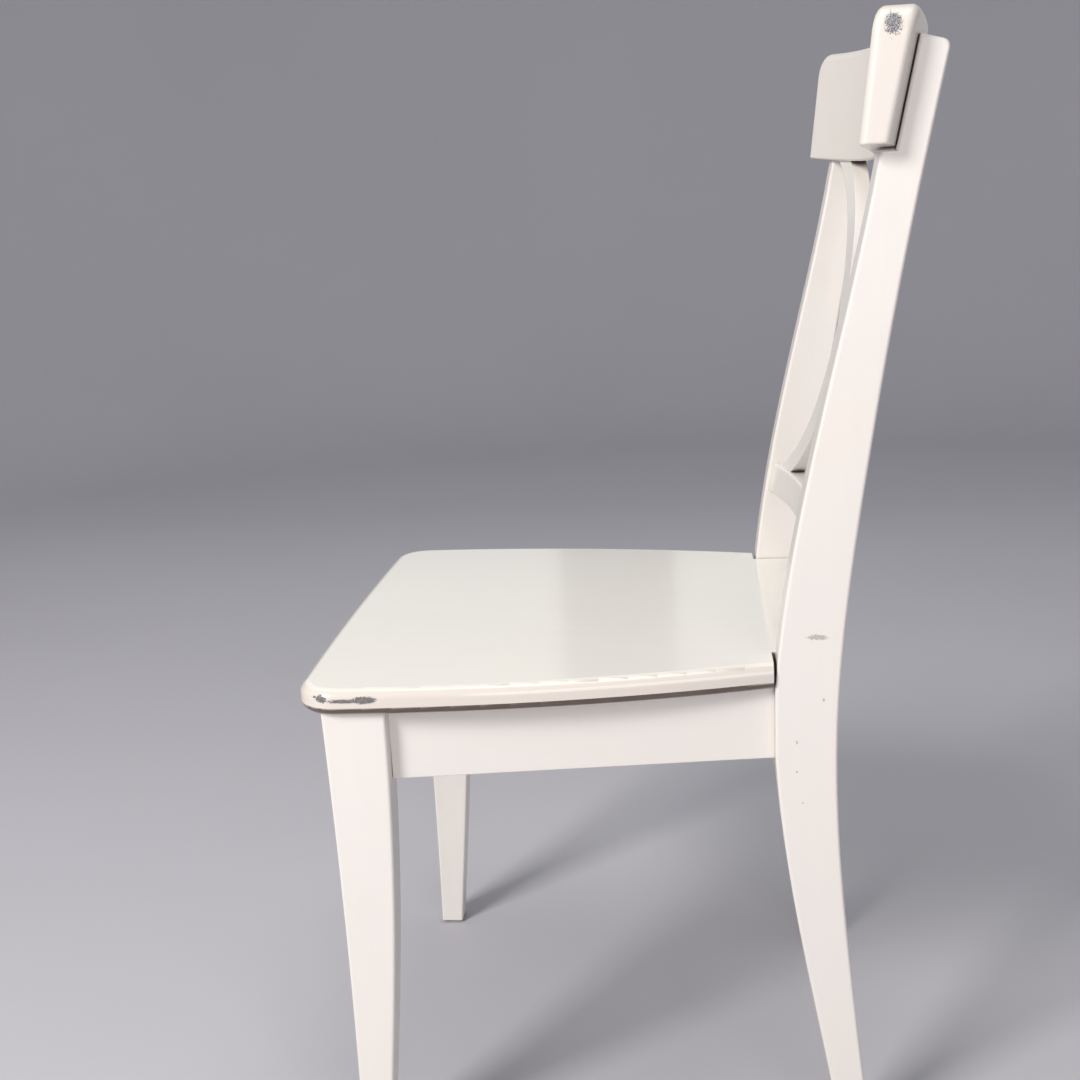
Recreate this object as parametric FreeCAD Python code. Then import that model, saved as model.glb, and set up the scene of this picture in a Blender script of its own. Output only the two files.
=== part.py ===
import FreeCAD, Part
import math
import os

# A wooden dining chair with a crossed back, all sizes in millimetres.
# +Z is up and the sitter faces -Y, so the sitter's left is +X.
# Depths are measured back from the seat's front edge, and heights up from the floor.
# The origin is on the floor at the middle of the chair's length and width.

# Whole chair
OVERALL_DEPTH = 530.4
SEAT_HEIGHT = 450.0
GLIDE_THICKNESS = 3.0
EDGE_ROUNDING = 2.5

# Seat board
SEAT_THICKNESS = 22.0
SEAT_TOP_ROUNDING = 9.0
SEAT_BOTTOM_ROUNDING = 7.0
SEAT_REAR_DEPTH = 432.0
SEAT_POST_GAP = 1.0
SEAT_CORNER_RADIUS = 34.0
# Half width of the seat board at three depths: front corner before rounding, middle and rear
SEAT_SIDE_ARC = [(234.0, 4.0), (224.5, 209.0), (186.5, 397.0)]

# Front legs
FRONT_LEG_OUTER = 224.5
FRONT_LEG_TOP_WIDTH = 29.5
FRONT_LEG_FOOT_WIDTH = 26.0
FRONT_LEG_FRONT_CURVE = [(23.0, 428.0), (27.0, 200.0), (25.0, 3.0)]
FRONT_LEG_REAR_CURVE = [(49.5, 3.0), (59.0, 100.0), (69.5, 219.0), (76.0, 345.0), (77.0, 428.0)]

# Back posts, each one piece from the floor to the top rail
POST_OUTER = 184.0
POST_WIDTH = 29.0
POST_TOP = 931.0
POST_TOP_ROUNDING = 6.0
POST_REAR_CURVE = [
    (476.0, 3.0), (457.0, 178.0), (446.0, 390.0), (467.0, 600.0), (489.0, 738.0), (525.0, 922.0)]
POST_LEG_CURVE = [(451.0, 3.0), (430.0, 119.0), (404.0, 272.0), (395.0, 364.0)]
POST_UPPER_CURVE = [(395.0, 430.0), (412.0, 553.0), (432.0, 649.0), (453.0, 740.0), (474.0, 842.0)]
SHOULDER_HEIGHT = 847.0
POST_NOTCH_REACH = 40.0

# Aprons under the seat
APRON_HEIGHT = 64.0
APRON_THICKNESS = 18.0
FRONT_APRON_DEPTH = 34.0
REAR_APRON_DEPTH = 409.0
SIDE_APRON_FRONT_INSET = 12.0
SIDE_APRON_REAR_INSET = 9.0

# Top rail and lower back rail, both bowed backwards and leaning with the posts
BACK_LEAN = 0.2
TOP_RAIL_HALF_LENGTH = 205.0
TOP_RAIL_BOTTOM = 852.0
TOP_RAIL_TOP = 949.0
TOP_RAIL_FRONT_DEPTH = 455.0
TOP_RAIL_THICKNESS = 23.5
TOP_RAIL_BOW = 34.0
TOP_RAIL_BELLY = 8.0
TOP_RAIL_CORNER = 20.0
TOP_RAIL_GAP = 0.8
TOP_RAIL_FRONT_LEAN = 0.11
TOP_RAIL_ROUNDING = 6.5
TOP_RAIL_BOTTOM_ROUNDING = 1.5
LOWER_RAIL_BOTTOM = 521.0
LOWER_RAIL_HEIGHT = 30.0
LOWER_RAIL_FRONT_DEPTH = 411.0
LOWER_RAIL_THICKNESS = 20.0
LOWER_RAIL_BOW = 18.0
LOWER_RAIL_HOUSING = 10.0

# Crossed slats
SLAT_WIDTH = 26.0
SLAT_THICKNESS = 14.0
SLAT_END_OFFSET = 140.0
SLAT_HOUSING = 9.0
# Share of the slats' sweep that is bent: 0 is straight, 1 stands upright at the crossing
SLAT_BEND = 0.6
SLAT_CURVE_STEPS = 4

# Fastenings
DOWEL_DIAMETER = 8.0
DOWEL_REACH = 15.0
DOWEL_ROW_OFFSET = 16.0
TOP_DOWEL_LENGTH = 27.0
TOP_DOWEL_REACH = 13.0
TOP_DOWEL_RISES = (22.0, 62.0)
BOLT_DIAMETER = 6.0
BOLT_REACH = 20.0
BOLT_THREAD_SHOWING = 4.0
WASHER_DIAMETER = 18.0
WASHER_THICKNESS = 1.6
NUT_ACROSS_FLATS = 10.0
NUT_HEIGHT = 5.0
SCREW_DIAMETER = 4.0
SCREW_HEAD_DIAMETER = 8.0
SCREW_HEAD_HEIGHT = 3.0
BLOCK_SCREW_LENGTH = 32.0
BLOCK_SCREW_OFFSET = 15.0
SEAT_SCREW_OFFSET = 13.0
SEAT_SCREW_BITE = 14.0
BLOCK_THICKNESS = 24.0
BLOCK_HEIGHT = 28.0
BLOCK_CLEARANCE = 36.0
BLOCK_REACH = 90.0
# Depth and angle of the bolt line at the front and rear corners
FRONT_BOLT_DEPTH = 50.0
FRONT_BOLT_ANGLE = -40.0
REAR_BOLT_DEPTH = 419.0
REAR_BOLT_ANGLE = 45.0
GLIDE_DIAMETER = 20.0
GLIDE_ROUNDING = 0.8
NAIL_DIAMETER = 2.5
NAIL_LENGTH = 14.0

# Blanks are cut this far past the faces that trim them
SPARE = 20.0
BLANK_FRONT_DEPTH = 380.0
BLANK_DEPTH = 200.0

# Derived heights and places
APRON_TOP = SEAT_HEIGHT - SEAT_THICKNESS
APRON_BOTTOM = APRON_TOP - APRON_HEIGHT
APRON_MIDDLE = APRON_TOP - APRON_HEIGHT / 2
POST_INNER = POST_OUTER - POST_WIDTH
DOWEL_HEIGHTS = (APRON_MIDDLE - DOWEL_ROW_OFFSET, APRON_MIDDLE + DOWEL_ROW_OFFSET)
SLAT_BOTTOM = LOWER_RAIL_BOTTOM + LOWER_RAIL_HEIGHT - SLAT_HOUSING
SLAT_TOP = TOP_RAIL_BOTTOM + SLAT_HOUSING
SIDES = (("left", 1.0), ("right", -1.0))
ENDS = ("front", "rear")
UP = FreeCAD.Vector(0, 0, 1)


def point(x, depth, z):
    return FreeCAD.Vector(x, depth - OVERALL_DEPTH / 2, z)


def line(a, b):
    return Part.makeLine(a, b)


def curve(points):
    spline = Part.BSplineCurve()
    spline.interpolate(points)
    return spline.toShape()


def arc(a, b, c):
    return Part.Arc(a, b, c).toShape()


def face_of(edges):
    return Part.Face(Part.Wire(edges))


def box(x0, x1, depth0, depth1, z0, z1):
    return Part.makeBox(x1 - x0, depth1 - depth0, z1 - z0, point(x0, depth0, z0))


def rod(diameter, start, direction, length):
    return Part.makeCylinder(diameter / 2, length, start, direction)


def other_side(shape):
    return shape.mirror(FreeCAD.Vector(0, 0, 0), FreeCAD.Vector(1, 0, 0))


def on_side(shape, sign):
    return shape if sign > 0 else other_side(shape)


def rounded(shape, radius, wanted):
    edges = [edge for edge in shape.Edges if wanted(edge)]
    return shape.makeFillet(radius, edges)


def runs_along_x(edge):
    box_of_edge = edge.BoundBox
    return box_of_edge.XLength > 5 and box_of_edge.YLength < 1 and box_of_edge.ZLength < 1


def runs_back(edge):
    box_of_edge = edge.BoundBox
    return box_of_edge.YLength > 5 and box_of_edge.XLength < 1 and box_of_edge.ZLength < 1


def is_upright(edge):
    box_of_edge = edge.BoundBox
    return box_of_edge.ZLength > 5 and box_of_edge.XLength < 0.1 and box_of_edge.YLength < 0.1


def near_point(edge, place):
    centre = edge.BoundBox.Center
    return math.hypot(centre.y - place.y, centre.z - place.z) < 1


# Seat board: a flat plank with rounded edges, notched round the back posts
def seat_outline(z):
    side = [point(x, depth, z) for x, depth in SEAT_SIDE_ARC]
    right = arc(*side)
    left = other_side(right)
    opposite = [point(-x, depth, z) for x, depth in SEAT_SIDE_ARC]
    front = arc(opposite[0], point(0, 0, z), side[0])
    rear = line(side[-1], opposite[-1])
    return face_of(Part.sortEdges([left, front, right, rear])[0])


def seat_board():
    board = seat_outline(APRON_TOP).extrude(FreeCAD.Vector(0, 0, SEAT_THICKNESS))
    front_limit = point(0, SEAT_SIDE_ARC[0][1] + 1, 0).y
    board = rounded(board, SEAT_CORNER_RADIUS, lambda e: is_upright(e) and e.BoundBox.YMax < front_limit)
    notch_depth = POST_LEG_CURVE[-1][0] - SEAT_POST_GAP
    rear_limit = point(0, notch_depth, 0).y

    def on_level(z):
        return lambda e: (
            abs(e.BoundBox.ZMin - z) < 0.01
            and abs(e.BoundBox.ZMax - z) < 0.01
            and e.BoundBox.YMin < rear_limit
        )

    board = rounded(board, SEAT_TOP_ROUNDING, on_level(SEAT_HEIGHT))
    board = rounded(board, SEAT_BOTTOM_ROUNDING, on_level(APRON_TOP))
    behind = box(-POST_OUTER - SPARE, POST_OUTER + SPARE, notch_depth, OVERALL_DEPTH, 0, POST_TOP)
    board = board.cut(behind)
    tongue_half_width = POST_INNER - SEAT_POST_GAP
    tongue = box(
        -tongue_half_width, tongue_half_width, notch_depth - 1, SEAT_REAR_DEPTH, APRON_TOP, SEAT_HEIGHT)
    tongue = rounded(tongue, EDGE_ROUNDING, lambda e: runs_along_x(e) and e.BoundBox.YMin > rear_limit)
    return board.fuse(tongue).removeSplitter()


# Front legs: tapered in both directions below the aprons
def front_leg():
    front = [point(0, depth, z) for depth, z in FRONT_LEG_FRONT_CURVE]
    rear = [point(0, depth, z) for depth, z in FRONT_LEG_REAR_CURVE]
    side_view = face_of([curve(front), line(front[-1], rear[0]), curve(rear), line(rear[-1], front[0])])
    slab = side_view.extrude(FreeCAD.Vector(FRONT_LEG_OUTER + SPARE, 0, 0))
    inner_top = FRONT_LEG_OUTER - FRONT_LEG_TOP_WIDTH
    inner_foot = FRONT_LEG_OUTER - FRONT_LEG_FOOT_WIDTH
    corners = [
        point(inner_foot, 0, GLIDE_THICKNESS),
        point(FRONT_LEG_OUTER, 0, GLIDE_THICKNESS),
        point(FRONT_LEG_OUTER, 0, APRON_TOP),
        point(inner_top, 0, APRON_TOP),
        point(inner_top, 0, APRON_BOTTOM),
    ]
    front_view = Part.Face(Part.makePolygon(corners + corners[:1]))
    leg = slab.common(front_view.extrude(FreeCAD.Vector(0, BLANK_DEPTH, 0)))
    return rounded(leg, EDGE_ROUNDING, lambda e: e.BoundBox.ZLength > 40)


# Back posts: a leg below the seat and a leaning upright above it, notched for the top rail
def back_post():
    rear = [point(0, depth, z) for depth, z in POST_REAR_CURVE]
    leg_front = [point(0, depth, z) for depth, z in POST_LEG_CURVE]
    upper_front = [point(0, depth, z) for depth, z in POST_UPPER_CURVE]
    top_front = point(0, POST_UPPER_CURVE[-1][0] + BACK_LEAN * (POST_TOP - POST_UPPER_CURVE[-1][1]), POST_TOP)
    top_rear = point(0, POST_REAR_CURVE[-1][0], POST_REAR_CURVE[-1][1])
    side_view = face_of([
        curve(leg_front),
        line(leg_front[-1], upper_front[0]),
        curve(upper_front),
        line(upper_front[-1], top_front),
        line(top_front, top_rear),
        curve(rear),
        line(rear[0], leg_front[0]),
    ])
    post = side_view.extrude(FreeCAD.Vector(POST_WIDTH, 0, 0))
    post.translate(FreeCAD.Vector(POST_INNER, 0, 0))
    post = rounded(post, POST_TOP_ROUNDING, lambda e: runs_along_x(e) and near_point(e, top_rear))
    notch_front = TOP_RAIL_FRONT_DEPTH - POST_NOTCH_REACH - BACK_LEAN * (TOP_RAIL_BOTTOM - SHOULDER_HEIGHT)
    notch_thickness = POST_NOTCH_REACH + TOP_RAIL_THICKNESS + TOP_RAIL_GAP
    post = post.cut(bowed_slab(
        POST_OUTER + SPARE, SHOULDER_HEIGHT, POST_TOP + SPARE,
        notch_front, notch_thickness, TOP_RAIL_BOW, TOP_RAIL_HALF_LENGTH, BACK_LEAN))
    return rounded(post, EDGE_ROUNDING, lambda e: e.BoundBox.ZLength > 60)


# A slab bowed backwards in plan and leaning backwards with height.
# Its front face is at the given depth at full_half_length from the middle, on its lowest level.
def bowed_slab(half_length, z0, z1, front_depth, thickness, bow, full_half_length, lean):
    def set_back(x):
        return bow * (1 - (x / full_half_length) ** 2)

    end = set_back(half_length)
    middle = set_back(0)
    front = arc(
        point(-half_length, front_depth + end, z0),
        point(0, front_depth + middle, z0),
        point(half_length, front_depth + end, z0))
    back = front.copy()
    back.translate(FreeCAD.Vector(0, thickness, 0))
    ends = [line(front.Vertexes[i].Point, back.Vertexes[i].Point) for i in (0, 1)]
    plan = face_of(Part.sortEdges([front, back] + ends)[0])
    height = z1 - z0
    return plan.extrude(FreeCAD.Vector(0, lean * height, height))


# Top rail: rounded upper corners, and both long edges hang a little at the middle.
# Its front face is more upright than its back, so it grows thicker towards the top.
def top_rail():
    half = TOP_RAIL_HALF_LENGTH
    low = TOP_RAIL_BOTTOM - TOP_RAIL_BELLY
    low_front = TOP_RAIL_FRONT_DEPTH - TOP_RAIL_FRONT_LEAN * TOP_RAIL_BELLY
    low_back = TOP_RAIL_FRONT_DEPTH + TOP_RAIL_THICKNESS - BACK_LEAN * TOP_RAIL_BELLY
    front_blank = bowed_slab(
        half, low, TOP_RAIL_TOP, low_front, POST_NOTCH_REACH, TOP_RAIL_BOW, half, TOP_RAIL_FRONT_LEAN)
    back_blank = bowed_slab(
        half, low, TOP_RAIL_TOP, low_back - POST_NOTCH_REACH, POST_NOTCH_REACH, TOP_RAIL_BOW, half, BACK_LEAN)

    def hanging_edge(z):
        return arc(
            point(-half, BLANK_FRONT_DEPTH, z),
            point(0, BLANK_FRONT_DEPTH, z - TOP_RAIL_BELLY),
            point(half, BLANK_FRONT_DEPTH, z))

    def end_edge(x):
        return line(point(x, BLANK_FRONT_DEPTH, TOP_RAIL_BOTTOM), point(x, BLANK_FRONT_DEPTH, TOP_RAIL_TOP))

    outline = [hanging_edge(TOP_RAIL_BOTTOM), end_edge(half), hanging_edge(TOP_RAIL_TOP), end_edge(-half)]
    front_view = face_of(Part.sortEdges(outline)[0]).extrude(FreeCAD.Vector(0, BLANK_DEPTH, 0))
    front_view = rounded(
        front_view, TOP_RAIL_CORNER, lambda e: runs_back(e) and e.BoundBox.ZMin > TOP_RAIL_TOP - 1)
    rail = front_blank.common(back_blank).common(front_view)
    rail = rounded(rail, TOP_RAIL_ROUNDING, lambda e: e.Length > 50 and e.BoundBox.ZMax > TOP_RAIL_BOTTOM + 1)
    return rounded(rail, TOP_RAIL_BOTTOM_ROUNDING, lambda e: e.BoundBox.ZMax < TOP_RAIL_BOTTOM + 1)


def lower_rail():
    rail = bowed_slab(
        POST_INNER + LOWER_RAIL_HOUSING, LOWER_RAIL_BOTTOM, LOWER_RAIL_BOTTOM + LOWER_RAIL_HEIGHT,
        LOWER_RAIL_FRONT_DEPTH, LOWER_RAIL_THICKNESS, LOWER_RAIL_BOW, POST_INNER, BACK_LEAN)
    return rounded(rail, EDGE_ROUNDING, lambda e: e.Length > 100)


# Crossed slats: both lie in one bowed layer between the two rails and halve into each other
def slat_layer(front_offset, thickness):
    def level(z, depth, bow, full_half_length):
        half = SLAT_END_OFFSET + SLAT_WIDTH
        end = bow * (1 - (half / full_half_length) ** 2)
        front = arc(point(-half, depth + end, z), point(0, depth + bow, z), point(half, depth + end, z))
        back = front.copy()
        back.translate(FreeCAD.Vector(0, thickness, 0))
        ends = [line(front.Vertexes[i].Point, back.Vertexes[i].Point) for i in (0, 1)]
        return Part.Wire(Part.sortEdges([front, back] + ends)[0])

    low_depth = LOWER_RAIL_FRONT_DEPTH + BACK_LEAN * (SLAT_BOTTOM - LOWER_RAIL_BOTTOM)
    high_depth = TOP_RAIL_FRONT_DEPTH + BACK_LEAN * (SLAT_TOP - TOP_RAIL_BOTTOM)
    low_depth += (LOWER_RAIL_THICKNESS - SLAT_THICKNESS) / 2 + front_offset
    high_depth += (TOP_RAIL_THICKNESS - SLAT_THICKNESS) / 2 + front_offset
    low_wire = level(SLAT_BOTTOM, low_depth, LOWER_RAIL_BOW, POST_INNER)
    high_wire = level(SLAT_TOP, high_depth, TOP_RAIL_BOW, TOP_RAIL_HALF_LENGTH)
    return Part.makeLoft([low_wire, high_wire], True, True)


# Front view of the slat that rises to the left: it bends towards upright where the two cross
def slat_blank():
    slope = math.atan2(2 * SLAT_END_OFFSET, SLAT_TOP - SLAT_BOTTOM)
    half_cut = SLAT_WIDTH / 2 / math.cos(slope)
    middle = (SLAT_BOTTOM + SLAT_TOP) / 2
    half_height = (SLAT_TOP - SLAT_BOTTOM) / 2

    def edge_curve(shift):
        points = []
        for step in range(-SLAT_CURVE_STEPS, SLAT_CURVE_STEPS + 1):
            share = step / SLAT_CURVE_STEPS
            sweep = (1 - SLAT_BEND) * share + SLAT_BEND * share ** 3
            x = SLAT_END_OFFSET * sweep + shift
            points.append(point(x, BLANK_FRONT_DEPTH, middle + half_height * share))
        return points

    inner = edge_curve(-half_cut)
    outer = edge_curve(half_cut)
    strip = face_of([curve(inner), line(inner[-1], outer[-1]), curve(outer), line(outer[0], inner[0])])
    return strip.extrude(FreeCAD.Vector(0, BLANK_DEPTH, 0))


def crossed_slats():
    rising_left = slat_blank()
    rising_right = other_side(rising_left)
    whole = slat_layer(0, SLAT_THICKNESS)
    front_half = slat_layer(0, SLAT_THICKNESS / 2)
    rear_half = slat_layer(SLAT_THICKNESS / 2, SLAT_THICKNESS / 2)
    left = whole.common(rising_left).cut(rear_half.common(rising_right))
    right = whole.common(rising_right).cut(front_half.common(rising_left))
    return left, right


# Aprons
def front_apron():
    half = FRONT_LEG_OUTER - FRONT_LEG_TOP_WIDTH
    rear = FRONT_APRON_DEPTH + APRON_THICKNESS
    return box(-half, half, FRONT_APRON_DEPTH, rear, APRON_BOTTOM, APRON_TOP)


def rear_apron():
    rear = REAR_APRON_DEPTH + APRON_THICKNESS
    return box(-POST_INNER, POST_INNER, REAR_APRON_DEPTH, rear, APRON_BOTTOM, APRON_TOP)


def side_apron_line():
    front = point(FRONT_LEG_OUTER - SIDE_APRON_FRONT_INSET, FRONT_LEG_REAR_CURVE[-1][0], APRON_MIDDLE)
    rear = point(POST_OUTER - SIDE_APRON_REAR_INSET, POST_LEG_CURVE[-1][0], APRON_MIDDLE)
    return front, rear


def side_apron(leg, post):
    front, rear = side_apron_line()
    along = (rear - front).normalize()
    overlap = along * SPARE
    inward = FreeCAD.Vector(-APRON_THICKNESS, 0, 0)
    low = FreeCAD.Vector(0, 0, APRON_BOTTOM - APRON_MIDDLE)
    corners = [front - overlap + low, rear + overlap + low]
    corners = corners + [corners[1] + inward, corners[0] + inward]
    plank = Part.Face(Part.makePolygon(corners + corners[:1])).extrude(FreeCAD.Vector(0, 0, APRON_HEIGHT))
    trimmed = plank.cut(leg).cut(post)
    body = max(trimmed.Solids, key=lambda solid: solid.Volume)
    return body.cut(box(0, FRONT_LEG_OUTER, 0, FRONT_LEG_REAR_CURVE[-1][0], 0, SEAT_HEIGHT))


# Dowels, one group for each kind of joint
def apron_dowels():
    rods = []
    front, rear = side_apron_line()
    along = (rear - front).normalize()
    centre = FreeCAD.Vector(-APRON_THICKNESS / 2, 0, 0)
    length = 2 * DOWEL_REACH
    across = FreeCAD.Vector(1, 0, 0)
    front_x = FRONT_LEG_OUTER - FRONT_LEG_TOP_WIDTH - DOWEL_REACH
    rear_x = POST_INNER - DOWEL_REACH
    for z in DOWEL_HEIGHTS:
        lift = FreeCAD.Vector(0, 0, z - APRON_MIDDLE)
        side_front = front + centre + lift - along * DOWEL_REACH
        side_rear = rear + centre + lift - along * DOWEL_REACH
        front_end = point(front_x, FRONT_APRON_DEPTH + APRON_THICKNESS / 2, z)
        rear_end = point(rear_x, REAR_APRON_DEPTH + APRON_THICKNESS / 2, z)
        rods.append(rod(DOWEL_DIAMETER, side_front, along, length))
        rods.append(rod(DOWEL_DIAMETER, side_rear, along, length))
        rods.append(rod(DOWEL_DIAMETER, front_end, across, length))
        rods.append(rod(DOWEL_DIAMETER, rear_end, across, length))
    return rods + [other_side(r) for r in rods]


def top_rail_dowels():
    rods = []
    x = POST_INNER + POST_WIDTH / 2
    set_back = TOP_RAIL_BOW * (1 - (x / TOP_RAIL_HALF_LENGTH) ** 2)
    slope = math.atan(BACK_LEAN)
    direction = FreeCAD.Vector(0, math.cos(slope), -math.sin(slope))
    for rise in TOP_DOWEL_RISES:
        back = TOP_RAIL_FRONT_DEPTH + TOP_RAIL_THICKNESS + set_back + BACK_LEAN * rise
        start = point(x, back, TOP_RAIL_BOTTOM + rise) - direction * TOP_DOWEL_REACH
        rods.append(rod(DOWEL_DIAMETER, start, direction, TOP_DOWEL_LENGTH))
    return rods + [other_side(r) for r in rods]


# Corner blocks brace the frame under the seat and take the bolts and screws
def corner_axis(end):
    if end == "front":
        target = point(FRONT_LEG_OUTER - FRONT_LEG_TOP_WIDTH / 2, FRONT_BOLT_DEPTH, APRON_MIDDLE)
        angle = math.radians(FRONT_BOLT_ANGLE)
    else:
        target = point(POST_OUTER - POST_WIDTH / 2, REAR_BOLT_DEPTH, APRON_MIDDLE)
        angle = math.radians(REAR_BOLT_ANGLE)
    return target, FreeCAD.Vector(math.cos(angle), math.sin(angle), 0)


def corner_block(end, neighbours):
    target, outward = corner_axis(end)
    across = UP.cross(outward)
    outer = target - outward * BLOCK_CLEARANCE
    base = outer + FreeCAD.Vector(0, 0, -BLOCK_HEIGHT / 2)
    reach = across * BLOCK_REACH
    depth = outward * -BLOCK_THICKNESS
    corners = [base - reach, base + reach, base + reach + depth, base - reach + depth]
    bar = Part.Face(Part.makePolygon(corners + corners[:1])).extrude(FreeCAD.Vector(0, 0, BLOCK_HEIGHT))
    for piece in neighbours:
        bar = bar.cut(piece)
    middle = outer + depth * 0.5
    inside = [s for s in bar.Solids if s.isInside(middle, 0.01, True)]
    return inside[0]


def hanger_bolt(end):
    target, outward = corner_axis(end)
    inner = target - outward * (BLOCK_CLEARANCE + BLOCK_THICKNESS)
    start = inner - outward * (WASHER_THICKNESS + NUT_HEIGHT + BOLT_THREAD_SHOWING)
    length = (target - start).Length + BOLT_REACH - FRONT_LEG_TOP_WIDTH / 2
    bolt = rod(BOLT_DIAMETER, start, outward, length)
    washer = rod(WASHER_DIAMETER, inner - outward * WASHER_THICKNESS, outward, WASHER_THICKNESS)
    radius = NUT_ACROSS_FLATS / math.sqrt(3)
    across = UP.cross(outward)
    nut_start = inner - outward * (WASHER_THICKNESS + NUT_HEIGHT)
    corners = []
    for i in range(6):
        turn = math.radians(60 * i)
        corners.append(nut_start + across * (radius * math.cos(turn)) + UP * (radius * math.sin(turn)))
    nut = Part.Face(Part.makePolygon(corners + corners[:1])).extrude(outward * NUT_HEIGHT)
    return bolt, washer.cut(bolt), nut.cut(bolt)


def screw(head_seat, direction, length):
    head = Part.makeCone(
        SCREW_HEAD_DIAMETER / 2, SCREW_DIAMETER / 2, SCREW_HEAD_HEIGHT, head_seat, direction)
    return head.fuse(rod(SCREW_DIAMETER, head_seat, direction, length)).removeSplitter()


def seat_screw(end):
    target, outward = corner_axis(end)
    across = UP.cross(outward)
    foot = target - outward * (BLOCK_CLEARANCE + BLOCK_THICKNESS / 2) + across * SEAT_SCREW_OFFSET
    foot.z = APRON_MIDDLE - BLOCK_HEIGHT / 2
    length = APRON_TOP - foot.z + SEAT_SCREW_BITE
    return screw(foot, UP, length)


# The block screws lie in the blocks and end inside the aprons
def block_screws(end):
    target, outward = corner_axis(end)
    across = UP.cross(outward)
    inner = target - outward * (BLOCK_CLEARANCE + BLOCK_THICKNESS)
    sideways = FreeCAD.Vector(1, 0, 0)
    endways = FreeCAD.Vector(0, -1, 0) if end == "front" else FreeCAD.Vector(0, 1, 0)
    screws = []
    for direction in (sideways, endways):
        shift = across * BLOCK_SCREW_OFFSET
        if shift.dot(direction) < 0:
            shift = shift * -1
        screws.append(screw(inner + shift, direction, BLOCK_SCREW_LENGTH))
    return screws


# Floor glides: a round plastic pad under each foot, held by one nail
def foot_centres():
    front_x = FRONT_LEG_OUTER - FRONT_LEG_FOOT_WIDTH / 2
    front_depth = (FRONT_LEG_FRONT_CURVE[-1][0] + FRONT_LEG_REAR_CURVE[0][0]) / 2
    post_x = POST_INNER + POST_WIDTH / 2
    post_depth = (POST_LEG_CURVE[0][0] + POST_REAR_CURVE[0][0]) / 2
    return {"front": point(front_x, front_depth, 0), "rear": point(post_x, post_depth, 0)}


def glide_and_nail(centre):
    pad = rod(GLIDE_DIAMETER, centre, UP, GLIDE_THICKNESS)
    pad = rounded(pad, GLIDE_ROUNDING, lambda e: e.BoundBox.ZMax < 0.01 and e.Length > GLIDE_DIAMETER)
    nail = rod(NAIL_DIAMETER, centre + UP, UP, NAIL_LENGTH)
    return pad.cut(nail), nail


def build():
    parts = {}
    leg = front_leg()
    post = back_post()
    crest = top_rail()
    rail = lower_rail()
    slat_left, slat_right = crossed_slats()
    front = front_apron()
    rear = rear_apron()
    side = side_apron(leg, post)
    seat = seat_board()
    corners = {end: corner_block(end, [front, rear, side, leg, post]) for end in ENDS}

    bolts = []
    washers = []
    nuts = []
    seat_screws = []
    block_screw_list = []
    for end in ENDS:
        bolt, washer, nut = hanger_bolt(end)
        for _, sign in SIDES:
            bolts.append(on_side(bolt, sign))
            washers.append(on_side(washer, sign))
            nuts.append(on_side(nut, sign))
            seat_screws.append(on_side(seat_screw(end), sign))
            block_screw_list = block_screw_list + [on_side(s, sign) for s in block_screws(end)]
    dowels = apron_dowels()
    crest_pins = top_rail_dowels()

    glides = {}
    nails = []
    for end, centre in foot_centres().items():
        pad, nail = glide_and_nail(centre)
        for name, sign in SIDES:
            glides[end + "_" + name] = on_side(pad, sign)
            nails.append(on_side(nail, sign))

    post = post.cut(rail)
    crest = crest.cut(slat_left).cut(slat_right)
    rail = rail.cut(slat_left).cut(slat_right)
    fastenings = Part.makeCompound(
        bolts + washers + nuts + seat_screws + block_screw_list + dowels + crest_pins + nails)

    def drilled(shape):
        result = shape.cut(fastenings)
        return result.Solids[0] if len(result.Solids) == 1 else result

    parts["seat"] = drilled(seat)
    for name, sign in SIDES:
        parts["front_leg_" + name] = drilled(on_side(leg, sign))
        parts["back_post_" + name] = drilled(on_side(post, sign))
        parts["side_apron_" + name] = drilled(on_side(side, sign))
        for end in ENDS:
            parts["corner_block_" + end + "_" + name] = drilled(on_side(corners[end], sign))
            parts["glide_" + end + "_" + name] = glides[end + "_" + name]
    parts["front_apron"] = drilled(front)
    parts["rear_apron"] = drilled(rear)
    parts["top_rail"] = drilled(crest)
    parts["lower_back_rail"] = drilled(rail)
    parts["cross_slat_rising_left"] = slat_left
    parts["cross_slat_rising_right"] = slat_right
    parts["apron_dowels"] = Part.makeCompound(dowels)
    parts["top_rail_dowels"] = Part.makeCompound(crest_pins)
    parts["hanger_bolts"] = Part.makeCompound(bolts)
    parts["hanger_washers"] = Part.makeCompound(washers)
    parts["hanger_nuts"] = Part.makeCompound(nuts)
    parts["seat_screws"] = Part.makeCompound(seat_screws)
    parts["corner_block_screws"] = Part.makeCompound(block_screw_list)
    parts["glide_nails"] = Part.makeCompound(nails)
    return parts


os.makedirs("parts", exist_ok=True)
for node, shape in build().items():
    shape.exportStep("parts/" + node + ".step")
    print(node, len(shape.Solids), "solids", shape.isValid(), "volume", round(shape.Volume))
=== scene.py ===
import math

import bpy
from mathutils import Matrix, Vector


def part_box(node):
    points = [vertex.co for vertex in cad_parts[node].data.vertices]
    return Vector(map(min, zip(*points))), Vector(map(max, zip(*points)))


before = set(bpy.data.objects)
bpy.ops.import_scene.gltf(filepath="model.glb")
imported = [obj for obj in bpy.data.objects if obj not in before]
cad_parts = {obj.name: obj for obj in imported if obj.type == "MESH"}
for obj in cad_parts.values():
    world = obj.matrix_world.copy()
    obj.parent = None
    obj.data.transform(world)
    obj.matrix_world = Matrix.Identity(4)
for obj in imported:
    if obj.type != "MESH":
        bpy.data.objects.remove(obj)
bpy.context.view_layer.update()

# A white-lacquered cross-back dining chair on a pale studio floor.
# Every part keeps its CAD shape; this script adds the materials, the floor, the lights and the camera.
# Lengths are metres unless a name says otherwise.
MILLIMETRE = 0.001

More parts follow.
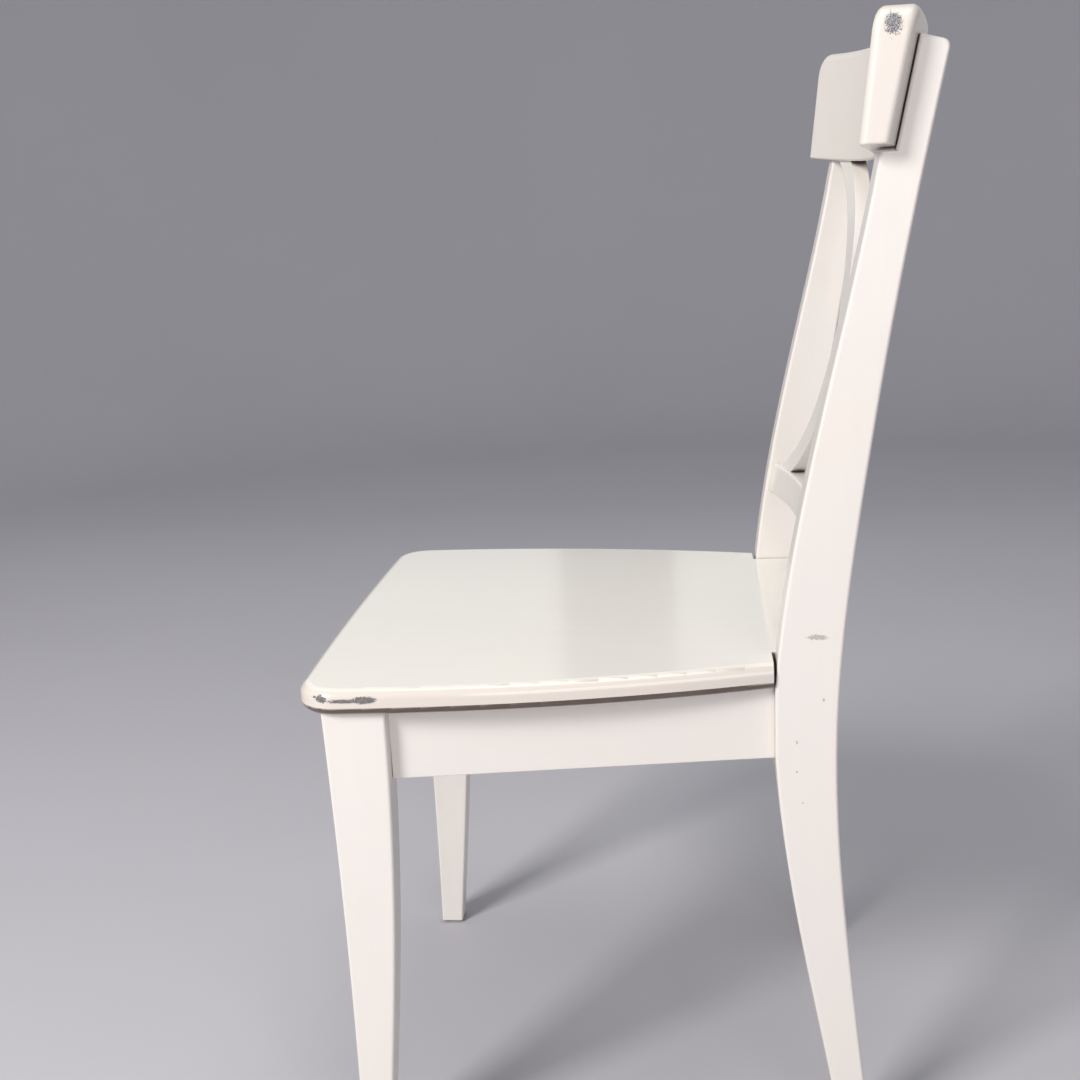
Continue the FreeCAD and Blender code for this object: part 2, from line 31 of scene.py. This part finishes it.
# Camera: eye point from the middle of the chair's footprint, angles in radians, lens in millimetres
EYE = (1.2739, 0.0626, 0.8257)
YAW = -0.1108
PITCH = 0.2565
ROLL = -0.0525
SENSOR_WIDTH = 36.0
LENS = 46.41
SHIFT_UP = 0.02315

# Round studio floor, its curved rise and its wall
FLOOR_RADIUS = 3.4
COVE_RADIUS = 1.5
COVE_STEPS = 12
WALL_TOP = 3.6
FLOOR_SECTORS = 96

# Lights: place, size and power of each, all aimed at the middle of the chair
LIGHT_TARGET = (0.0, 0.0, 0.5)
KEY = dict(place=(2.2, -1.9, 2.2), size=(1.0, 1.0), power=94.0, colour=(1.0, 0.965, 0.945))
SIDE_FILL = dict(place=(3.0, 0.9, 1.2), size=(2.2, 1.6), power=26.0, colour=(1.0, 0.955, 0.94))
TOP = dict(place=(0.1, 0.1, 3.0), size=(1.4, 1.4), power=17.0, colour=(0.99, 1.0, 0.95))
SKY_COLOUR = (0.92, 0.93, 1.0)
SKY_STRENGTH = 0.30

# Two upright panels beyond the far side, mirrored in the seat, with a darker band left between them
PANEL_X = -2.5
PANEL_LOW = 0.6
PANEL_HIGH = 2.3
PANEL_FRONT = -1.7
PANEL_REAR = 1.5
BAND_FRONT = -0.60
BAND_REAR = 0.24
PANEL_POWER_PER_AREA = 1.15
PANEL_COLOUR = (0.98, 1.0, 0.95)

# Lacquer colours, linear
LACQUER_COOL = (0.785, 0.757, 0.716)
LACQUER = (0.800, 0.765, 0.715)
LACQUER_WARM = (0.812, 0.772, 0.708)
GRAIN_SHADE = (0.62, 0.56, 0.48)
RUBBED_SHADE = (0.52, 0.46, 0.40)
HANDLING_SHADE = (0.50, 0.46, 0.42)
# Painted shade in the creases
CREASE_SHADE = (0.085, 0.060, 0.046)
# Painted shade on the seat's downward faces, dark to pale
UNDERSIDE_SHADE_DARK = (0.075, 0.050, 0.036)
UNDERSIDE_SHADE_PALE = (0.125, 0.088, 0.064)

# Factors on the lacquer colours
NO_TINT = (1.0, 1.0, 1.0)
# Painted light: the seat's lacquer paler than the rest's
SEAT_LIGHT_TINT = (1.12, 1.14, 1.12)
# Painted shade on the seat's rounded edge
SEAT_EDGE_SHADE = (0.80, 0.765, 0.755)
# Painted shade: the top rail's lacquer darker than the rest's
RAIL_SHADE_TINT = (0.95, 0.935, 0.915)

# Bare spots from dark to pale: knocked through, scuffed, and scraped shiny
CHIP_SHADES = ((0.055, 0.052, 0.052), (0.14, 0.13, 0.13), (0.36, 0.34, 0.33))
SCUFF_SHADES = ((0.43, 0.38, 0.34), (0.54, 0.49, 0.44), (0.64, 0.59, 0.54))
SILVERY_SHADES = ((0.05, 0.05, 0.055), (0.20, 0.20, 0.21), (0.60, 0.60, 0.62))

# Other colours, linear
BEECH_DARK = (0.40, 0.25, 0.14)
BEECH = (0.53, 0.36, 0.22)
BEECH_PALE = (0.62, 0.45, 0.29)
BEECH_FLECK = (0.30, 0.17, 0.09)
ZINC_DARK = (0.38, 0.39, 0.40)
ZINC_PALE = (0.62, 0.63, 0.64)
ZINC_STAIN = (0.24, 0.20, 0.16)
GLIDE_DARK = (0.30, 0.29, 0.27)
GLIDE_PALE = (0.42, 0.41, 0.39)
GLIDE_SCUFF = (0.12, 0.11, 0.10)
FLOOR = (0.54, 0.535, 0.57)
FLOOR_PALE = tuple(channel * 1.04 for channel in FLOOR)

# Stretch of the grain along each axis
GRAIN_STRETCH = {"X": (0.06, 1.0, 1.0), "Y": (1.0, 0.06, 1.0), "Z": (1.0, 1.0, 0.06)}
CHIP_SEED_STEP = 0.37

# Socket numbers of the colour mix node
MIX_FACTOR = 0
MIX_A = 6
MIX_B = 7
MIX_RESULT = 2


# ---------------------------------------------------------------- node helpers
class Nodes:
    """Builds one node material; each method adds a node and returns its output."""

    def __init__(self, name):
        self.material = bpy.data.materials.new(name)
        self.material.use_nodes = True
        self.tree = self.material.node_tree
        self.shader = self.tree.nodes["Principled BSDF"]
        coordinates = self.add("ShaderNodeTexCoord")
        self.place = coordinates.outputs["Object"]

    def add(self, kind, **settings):
        node = self.tree.nodes.new(kind)
        for key, value in settings.items():
            setattr(node, key, value)
        return node

    def join(self, output, socket):
        self.tree.links.new(output, socket)

    def feed(self, value, socket):
        """Joins an output to the socket, or sets the socket to a constant number or colour."""
        if isinstance(value, bpy.types.NodeSocket):
            self.join(value, socket)
        elif isinstance(value, tuple):
            socket.default_value = (*value, 1.0)
        else:
            socket.default_value = value

    def mapped(self, scale, shift=(0, 0, 0)):
        node = self.add("ShaderNodeMapping")
        node.inputs["Scale"].default_value = scale
        node.inputs["Location"].default_value = shift
        self.join(self.place, node.inputs["Vector"])
        return node.outputs["Vector"]

    def noise(self, vector, scale, detail, roughness, distortion=0.0):
        node = self.add("ShaderNodeTexNoise")
        node.inputs["Scale"].default_value = scale
        node.inputs["Detail"].default_value = detail
        node.inputs["Roughness"].default_value = roughness
        node.inputs["Distortion"].default_value = distortion
        self.join(vector, node.inputs["Vector"])
        return node.outputs["Fac"]

    def ramp(self, value, stops):
        node = self.add("ShaderNodeValToRGB")
        elements = node.color_ramp.elements
        while len(elements) < len(stops):
            elements.new(0.5)
        for element, (position, colour) in zip(elements, stops):
            element.position = position
            element.color = (*colour, 1.0)
        self.join(value, node.inputs["Fac"])
        return node.outputs["Color"]

    def grey_ramp(self, value, low, high, at_low=0.0, at_high=1.0):
        return self.ramp(value, [(low, (at_low,) * 3), (high, (at_high,) * 3)])

    def mix(self, factor, a, b, blend="MIX"):
        node = self.add("ShaderNodeMix", data_type="RGBA", blend_type=blend)
        self.feed(factor, node.inputs[MIX_FACTOR])
        self.feed(a, node.inputs[MIX_A])
        self.feed(b, node.inputs[MIX_B])
        return node.outputs[MIX_RESULT]

    def maths(self, operation, a, b):
        node = self.add("ShaderNodeMath", operation=operation)
        self.feed(a, node.inputs[0])
        self.feed(b, node.inputs[1])
        return node.outputs[0]

    def bump(self, height, depth, strength, normal=None):
        """Bump of the given depth in millimetres."""
        node = self.add("ShaderNodeBump")
        node.inputs["Distance"].default_value = depth * MILLIMETRE
        node.inputs["Strength"].default_value = strength
        self.join(height, node.inputs["Height"])
        if normal is not None:
            self.join(normal, node.inputs["Normal"])
        return node.outputs["Normal"]

    def finish(self, colour, roughness, normal):
        self.join(colour, self.shader.inputs["Base Color"])
        self.join(roughness, self.shader.inputs["Roughness"])
        self.join(normal, self.shader.inputs["Normal"])
        return self.material


# ---------------------------------------------------------------- lacquer
def chip_mask(n, centre, radii, ragged, seed):
    """1 inside a ragged ellipsoid; its centre is in metres and its radii are in millimetres."""
    scale = [1.0 / (radius * MILLIMETRE) for radius in radii]
    shift = [-place * factor for place, factor in zip(centre, scale)]
    distance = n.add("ShaderNodeVectorMath", operation="LENGTH")
    n.join(n.mapped(scale, shift), distance.inputs[0])
    rag = n.noise(n.mapped((1, 1, 1), (seed, seed, seed)), scale=900.0, detail=3.0, roughness=0.65)
    offset = n.maths("MULTIPLY", n.maths("SUBTRACT", rag, 0.5), ragged)
    edge = n.maths("ADD", distance.outputs["Value"], offset)
    return n.grey_ramp(edge, 0.93, 1.0, at_low=1.0, at_high=0.0)


def rubbed_edges(n, colour, soft_normal, surface_normal):
    """Shows the lacquer a little rubbed where the surface turns sharply."""
    turn = n.add("ShaderNodeVectorMath", operation="DOT_PRODUCT")
    n.join(soft_normal, turn.inputs[0])
    n.join(surface_normal, turn.inputs[1])
    on_edge = n.grey_ramp(turn.outputs["Value"], 0.90, 0.995, at_low=1.0, at_high=0.0)
    rubbed = n.grey_ramp(n.noise(n.place, scale=160.0, detail=4.0, roughness=0.7), 0.56, 0.70)
    amount = n.maths("MULTIPLY", n.maths("MULTIPLY", on_edge, rubbed), 0.30)
    return n.mix(amount, colour, RUBBED_SHADE)


def painted_crease_shade(n, colour):
    """Painted shade in the creases, darkest where the surface is most hidden, as under the seat's edge."""
    crease = n.add("ShaderNodeAmbientOcclusion", samples=8)
    crease.inputs["Distance"].default_value = 10.0 * MILLIMETRE
    shaded = n.grey_ramp(crease.outputs["AO"], 0.16, 0.40, at_low=0.90, at_high=0.0)
    return n.mix(shaded, colour, CREASE_SHADE)


def seat_edge_and_underside_shade(n, colour, surface_normal, streak):
    """Paints shade on the seat: its rounded edge darker than its top, and its downward faces dark brown,
    varied along the grain.
    """
    parts = n.add("ShaderNodeSeparateXYZ")
    n.join(surface_normal, parts.inputs[0])
    up = parts.outputs["Z"]
    edge_shade_mask = n.grey_ramp(up, 0.75, 0.985, at_low=1.0, at_high=0.0)
    colour = n.mix(edge_shade_mask, colour, SEAT_EDGE_SHADE, blend="MULTIPLY")
    below = n.maths("MULTIPLY", up, -1.0)
    underside_shade = n.ramp(streak, [(0.3, UNDERSIDE_SHADE_DARK), (0.7, UNDERSIDE_SHADE_PALE)])
    return n.mix(n.grey_ramp(below, 0.02, 0.20), colour, underside_shade)


def lacquer(name, grain, chips=(), bare_shades=CHIP_SHADES, gloss=0.34, coat=0.25, handling=0.07,
            tint=NO_TINT, is_seat=False):
    """Opaque satin lacquer on wood: faint grain, orange peel, soft edges, paint chips and painted shade in
    the creases.
    """
    n = Nodes(name)
    wide = n.noise(n.place, scale=5.0, detail=3.0, roughness=0.55)
    shades = [
        tuple(channel * factor for channel, factor in zip(shade, tint))
        for shade in (LACQUER_COOL, LACQUER, LACQUER_WARM)]
    colour = n.ramp(wide, list(zip((0.30, 0.52, 0.75), shades)))
    streak = n.noise(n.mapped(GRAIN_STRETCH[grain]), scale=120.0, detail=5.0, roughness=0.6, distortion=0.2)
    colour = n.mix(n.grey_ramp(streak, 0.35, 0.75, at_high=0.05), colour, GRAIN_SHADE)

    soft = n.add("ShaderNodeBevel", samples=6)
    soft.inputs["Radius"].default_value = 1.1 * MILLIMETRE
    soft_normal = soft.outputs["Normal"]
    surface_normal = n.add("ShaderNodeNewGeometry").outputs["Normal"]
    colour = rubbed_edges(n, colour, soft_normal, surface_normal)
    # Painted shade in the creases
    colour = painted_crease_shade(n, colour)
    # The seat's rounded edge and downward faces get painted shade
    if is_seat:
        colour = seat_edge_and_underside_shade(n, colour, surface_normal, streak)

    handled = n.noise(n.place, scale=16.0, detail=5.0, roughness=0.6, distortion=0.3)
    colour = n.mix(n.grey_ramp(handled, 0.60, 0.85, at_high=handling), colour, HANDLING_SHADE)

    peel = n.noise(n.place, scale=620.0, detail=2.0, roughness=0.5)
    normal = n.bump(streak, depth=0.10, strength=0.35, normal=soft_normal)
    normal = n.bump(peel, depth=0.03, strength=0.30, normal=normal)
    patches = n.noise(n.place, scale=12.0, detail=3.0, roughness=0.5)
    roughness = n.grey_ramp(patches, 0.3, 0.7, at_low=gloss - 0.02, at_high=gloss + 0.03)

    if chips:
        masks = [
            chip_mask(n, centre, radii, ragged, CHIP_SEED_STEP * index)
            for index, (centre, radii, ragged) in enumerate(chips)]
        inside = masks[0]
        for mask in masks[1:]:
            inside = n.maths("MAXIMUM", inside, mask)
        speckle = n.noise(n.place, scale=1400.0, detail=4.0, roughness=0.7)
        colour = n.mix(inside, colour, n.ramp(speckle, list(zip((0.36, 0.52, 0.62), bare_shades))))
        roughness = n.mix(inside, roughness, (0.55, 0.55, 0.55))
        normal = n.bump(n.maths("SUBTRACT", 1.0, inside), depth=0.30, strength=1.0, normal=normal)

    n.shader.inputs["IOR"].default_value = 1.5
    n.shader.inputs["Coat Weight"].default_value = coat
    n.shader.inputs["Coat Roughness"].default_value = 0.10
    return n.finish(colour, roughness, normal)


# ---------------------------------------------------------------- other materials
def bare_beech():
    n = Nodes("bare_beech")
    flow = n.noise(n.mapped((1.0, 0.12, 1.0)), scale=60.0, detail=6.0, roughness=0.6, distortion=0.8)
    colour = n.ramp(flow, [(0.3, BEECH_DARK), (0.5, BEECH), (0.7, BEECH_PALE)])
    flecks = n.noise(n.mapped((1.0, 0.25, 1.0)), scale=700.0, detail=2.0, roughness=0.5)
    colour = n.mix(n.grey_ramp(flecks, 0.60, 0.68, at_high=0.45), colour, BEECH_FLECK)
    roughness = n.grey_ramp(flow, 0.3, 0.7, at_low=0.55, at_high=0.72)
    return n.finish(colour, roughness, n.bump(flow, depth=0.25, strength=0.6))


def zinc_steel():
    n = Nodes("zinc_steel")
    spangle = n.noise(n.place, scale=420.0, detail=5.0, roughness=0.65)
    colour = n.ramp(spangle, [(0.35, ZINC_DARK), (0.65, ZINC_PALE)])
    stains = n.noise(n.place, scale=90.0, detail=4.0, roughness=0.7)
    colour = n.mix(n.grey_ramp(stains, 0.6, 0.75, at_high=0.5), colour, ZINC_STAIN)
    roughness = n.grey_ramp(spangle, 0.3, 0.7, at_low=0.28, at_high=0.46)
    n.shader.inputs["Metallic"].default_value = 1.0
    return n.finish(colour, roughness, n.bump(spangle, depth=0.05, strength=0.5))


def glide_plastic():
    n = Nodes("glide_plastic")
    grit = n.noise(n.place, scale=900.0, detail=5.0, roughness=0.7)
    colour = n.ramp(grit, [(0.35, GLIDE_DARK), (0.7, GLIDE_PALE)])
    scuffs = n.noise(n.mapped((1, 0.2, 1)), scale=500.0, detail=3.0, roughness=0.6)
    colour = n.mix(n.grey_ramp(scuffs, 0.58, 0.7, at_high=0.6), colour, GLIDE_SCUFF)
    roughness = n.grey_ramp(grit, 0.3, 0.7, at_low=0.5, at_high=0.7)
    return n.finish(colour, roughness, n.bump(grit, depth=0.05, strength=0.6))


def floor_material():
    n = Nodes("studio_floor")
    tone = n.noise(n.place, scale=1.2, detail=4.0, roughness=0.5)
    n.join(n.ramp(tone, [(0.3, FLOOR), (0.7, FLOOR_PALE)]), n.shader.inputs["Base Color"])
    n.shader.inputs["Roughness"].default_value = 0.85
    return n.material


# ---------------------------------------------------------------- chips
def chip(corner, steps, radii, ragged):
    """Centre, radii and raggedness of a chip; its steps from a corner of a part's box are millimetres."""
    centre = tuple(place + step * MILLIMETRE for place, step in zip(corner, steps))
    return centre, radii, ragged


seat_low, seat_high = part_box("seat")
rail_low, rail_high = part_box("top_rail")
post_low, post_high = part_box("back_post_left")

# Corners on the chair's left and front: the seat's top, the top rail's top and the post's foot
SEAT_CORNER = (seat_high.x, seat_low.y, seat_high.z)
RAIL_CORNER = (rail_high.x, rail_low.y, rail_high.z)
POST_CORNER = (post_high.x, post_low.y, post_low.z)

SEAT_CHIPS = [
    chip(SEAT_CORNER, (-4.0, 27.64, -7.2), (9.0, 4.4, 3.2), 1.6),
    chip(SEAT_CORNER, (-2.0, 46.14, -9.0), (7.0, 13.0, 1.7), 2.4),
    chip(SEAT_CORNER, (-1.0, 63.14, -8.2), (7.0, 10.0, 3.0), 1.6),
    chip(SEAT_CORNER, (-6.0, 21.64, -6.1), (6.0, 1.6, 1.0), 0.4),
]
RAIL_CHIPS = [
    chip(RAIL_CORNER, (0.0, 22.55, -12.95), (9.0, 5.2, 8.0), 3.2),
]
POST_CHIPS = [
    chip(POST_CORNER, (0.0, 34.5, 469.0), (1.5, 6.5, 1.8), 3.6),
    chip(POST_CORNER, (0.0, 39.2, 415.0), (1.5, 0.9, 1.4), 0.8),
    chip(POST_CORNER, (0.0, 17.4, 378.0), (1.5, 0.7, 1.6), 0.8),
    chip(POST_CORNER, (0.0, 17.3, 351.6), (1.5, 0.9, 0.9), 0.8),
    chip(POST_CORNER, (0.0, 22.1, 323.6), (1.5, 0.7, 0.7), 0.8),
]


# ---------------------------------------------------------------- materials on the parts
CHIPPED = {
    # The seat's paler tint is painted light
    "seat": lacquer("lacquer_seat", "Y", SEAT_CHIPS, gloss=0.17, coat=0.6, handling=0.03,
                    tint=SEAT_LIGHT_TINT, is_seat=True),
    # The top rail's darker tint is painted shade
    "top_rail": lacquer("lacquer_top_rail", "X", RAIL_CHIPS, SILVERY_SHADES, tint=RAIL_SHADE_TINT),
    "back_post_left": lacquer("lacquer_post_left", "Z", POST_CHIPS, SCUFF_SHADES),
}
UPRIGHT = lacquer("lacquer_upright", "Z")
CROSSWISE = lacquer("lacquer_crosswise", "X")
LENGTHWISE = lacquer("lacquer_lengthwise", "Y")
WOOD = bare_beech()
STEEL = zinc_steel()
PLASTIC = glide_plastic()


def material_for(node):
    if node in CHIPPED:
        return CHIPPED[node]
    if node.startswith("hanger") or node.endswith(("screws", "nails")):
        return STEEL
    if node.startswith("corner_block") or node.endswith("dowels"):
        return WOOD
    if node.startswith("glide"):
        return PLASTIC
    if node.startswith("side_apron"):
        return LENGTHWISE
    if "apron" in node or "rail" in node:
        return CROSSWISE
    return UPRIGHT


for node_name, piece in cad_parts.items():
    piece.material_slots[0].material = material_for(node_name)


# ---------------------------------------------------------------- studio
def floor_profile():
    """Radius and height along the floor, up its curve and to the top of its wall."""
    profile = [(FLOOR_RADIUS, 0.0)]
    for step in range(1, COVE_STEPS + 1):
        turn = math.radians(90 * step / COVE_STEPS)
        radius = FLOOR_RADIUS + COVE_RADIUS * math.sin(turn)
        profile.append((radius, COVE_RADIUS * (1 - math.cos(turn))))
    profile.append((FLOOR_RADIUS + COVE_RADIUS, WALL_TOP))
    return profile


def studio_floor():
    """A round pale floor that curves up into a backdrop on every side."""
    profile = floor_profile()
    rows = len(profile)
    vertices = []
    faces = []
    centre = FLOOR_SECTORS * rows
    for sector in range(FLOOR_SECTORS):
        around = 2 * math.pi * sector / FLOOR_SECTORS
        vertices += [(r * math.cos(around), r * math.sin(around), z) for r, z in profile]
        here = sector * rows
        after = (sector + 1) % FLOOR_SECTORS * rows
        faces.append((centre, here, after))
        faces += [(here + i, here + i + 1, after + i + 1, after + i) for i in range(rows - 1)]
    vertices.append((0.0, 0.0, 0.0))
    mesh = bpy.data.meshes.new("studio_floor")
    mesh.from_pydata(vertices, [], faces)
    mesh.polygons.foreach_set("use_smooth", [True] * len(mesh.polygons))
    mesh.materials.append(floor_material())
    floor = bpy.data.objects.new("studio_floor", mesh)
    bpy.context.scene.collection.objects.link(floor)


def area_light(name, place, size, power, colour, target=LIGHT_TARGET):
    data = bpy.data.lights.new(name, "AREA")
    data.shape = "RECTANGLE"
    data.size, data.size_y = size
    data.energy = power
    data.color = colour
    light = bpy.data.objects.new(name, data)
    bpy.context.scene.collection.objects.link(light)
    light.location = place
    light.rotation_euler = (Vector(target) - Vector(place)).to_track_quat("-Z", "Y").to_euler()
    light.visible_camera = False


def far_panel(name, y_low, y_high):
    """A soft upright panel beyond the chair's far side, seen only as a sheen on the seat."""
    y = (y_low + y_high) / 2
    z = (PANEL_LOW + PANEL_HIGH) / 2
    size = (PANEL_HIGH - PANEL_LOW, y_high - y_low)
    power = PANEL_POWER_PER_AREA * size[0] * size[1]
    area_light(name, (PANEL_X, y, z), size, power, PANEL_COLOUR, target=(0.0, y, z))


def lights():
    area_light("key", **KEY)
    area_light("side_fill", **SIDE_FILL)
    area_light("top", **TOP)
    far_panel("far_panel_front", PANEL_FRONT, BAND_FRONT)
    far_panel("far_panel_rear", BAND_REAR, PANEL_REAR)
    world = bpy.data.worlds.new("studio")
    bpy.context.scene.world = world
    world.use_nodes = True
    background = world.node_tree.nodes["Background"]
    background.inputs["Color"].default_value = (*SKY_COLOUR, 1.0)
    background.inputs["Strength"].default_value = SKY_STRENGTH


def camera():
    forward = Vector((
        -math.cos(YAW) * math.cos(PITCH),
        math.sin(YAW) * math.cos(PITCH),
        -math.sin(PITCH)))
    level_right = forward.cross(Vector((0, 0, 1))).normalized()
    level_up = level_right.cross(forward)
    right = math.cos(ROLL) * level_right + math.sin(ROLL) * level_up
    up = -math.sin(ROLL) * level_right + math.cos(ROLL) * level_up
    data = bpy.data.cameras.new("camera")
    data.sensor_width = SENSOR_WIDTH
    data.lens = LENS
    data.shift_y = SHIFT_UP
    eye = bpy.data.objects.new("camera", data)
    bpy.context.scene.collection.objects.link(eye)
    rotation = Matrix((right, up, -forward)).transposed().to_4x4()
    eye.matrix_world = Matrix.Translation(EYE) @ rotation
    bpy.context.scene.camera = eye


studio_floor()
lights()
camera()
bpy.context.scene.view_settings.view_transform = "Standard"
bpy.context.scene.view_settings.look = "None"
